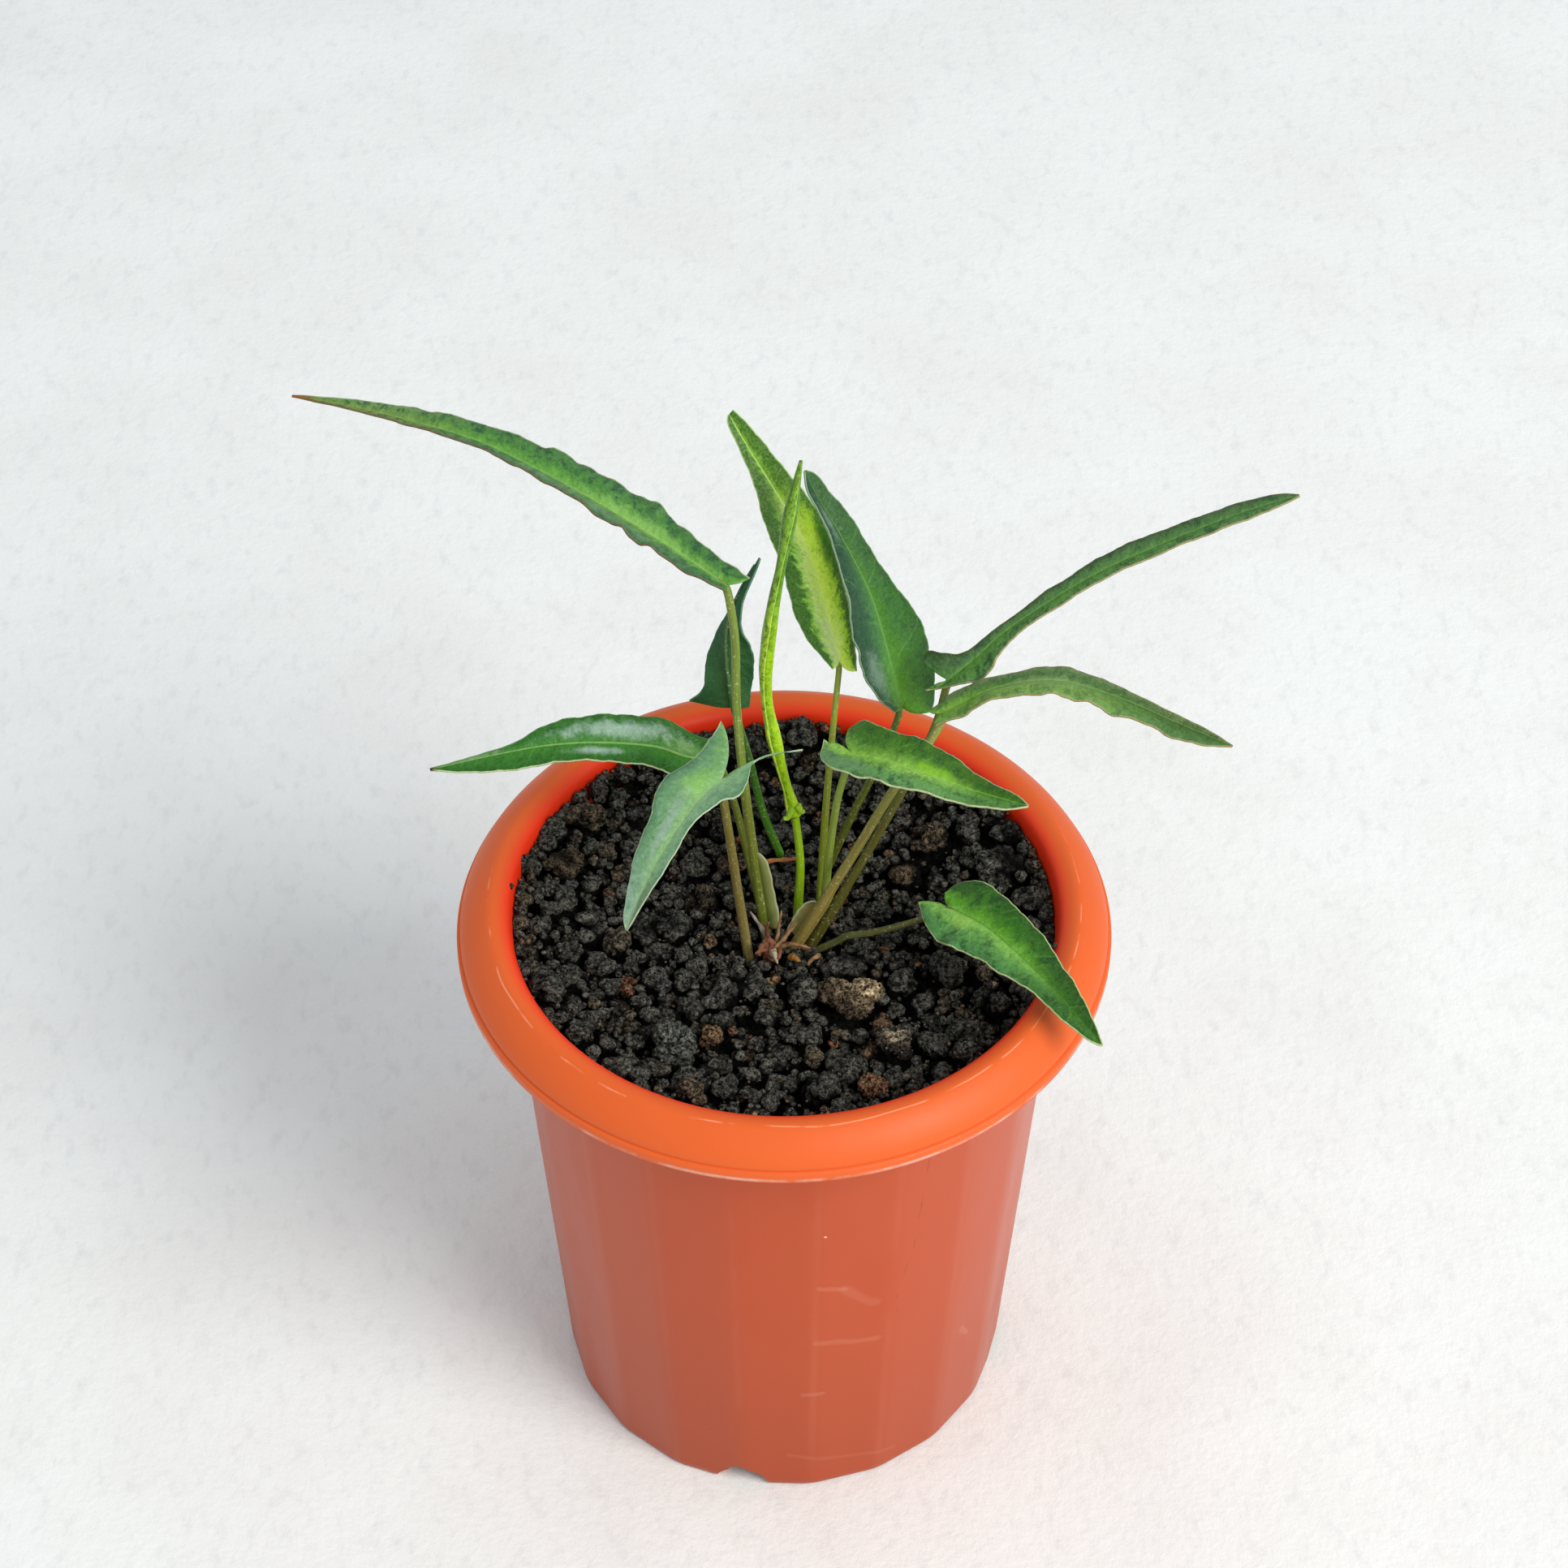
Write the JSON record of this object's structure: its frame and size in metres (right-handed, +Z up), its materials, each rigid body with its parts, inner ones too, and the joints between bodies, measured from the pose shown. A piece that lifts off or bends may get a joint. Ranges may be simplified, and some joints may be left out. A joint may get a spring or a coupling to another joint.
{
  "type": "potted ribbon syngonium",
  "caption": "Fluted plastic nursery pot of volcanic grit holding an aroid with long ribbon leaves and arrow-shaped leaves on thin upright petioles.",
  "frame": {"origin": "middle of the pot's flat foot, on the surface that it stands on", "axes": "+Z up, -Y towards the viewer of the reference view, +X to the viewer's right"},
  "size_m": [0.2382, 0.1608, 0.2774],
  "materials": {
    "pot_plastic": "moulded terracotta-orange polypropylene with a soft sheen, scuffs and dirt",
    "volcanic_grit": "coarse black volcanic grit, porous and dull",
    "brown_stone": "rough brown pumice-like stone",
    "dead_root": "dry brown fibrous root and old leaf base",
    "green_leaf": "leaf blade with dark mottling, paler midrib, thin pale margin and waxy sheen",
    "cream_leaf": "leaf blade with a cream-yellow middle and green margins",
    "young_leaf": "rolled young leaf, bright yellow-green",
    "grey_leaf": "grey-green arrow leaf with a soft bloom"
  },
  "bodies": {
    "root": {"pot": "pot_plastic", "soil": "volcanic_grit", "stone_brown_large": "brown_stone", "stone_brown_small": "brown_stone", "stone_brown_front": "brown_stone", "stone_dark_large": "volcanic_grit", "old_roots": "dead_root", "leaf_long_left": "green_leaf", "leaf_variegated": "cream_leaf", "leaf_broad_back": "green_leaf", "leaf_rolled_young": "young_leaf", "leaf_long_right": "green_leaf", "leaf_arching_right": "green_leaf", "leaf_low_left": "green_leaf", "leaf_front_arrow": "grey_leaf", "leaf_back_left": "green_leaf", "leaf_low_right": "green_leaf", "leaf_over_rim": "green_leaf"}
  },
  "joints": []
}
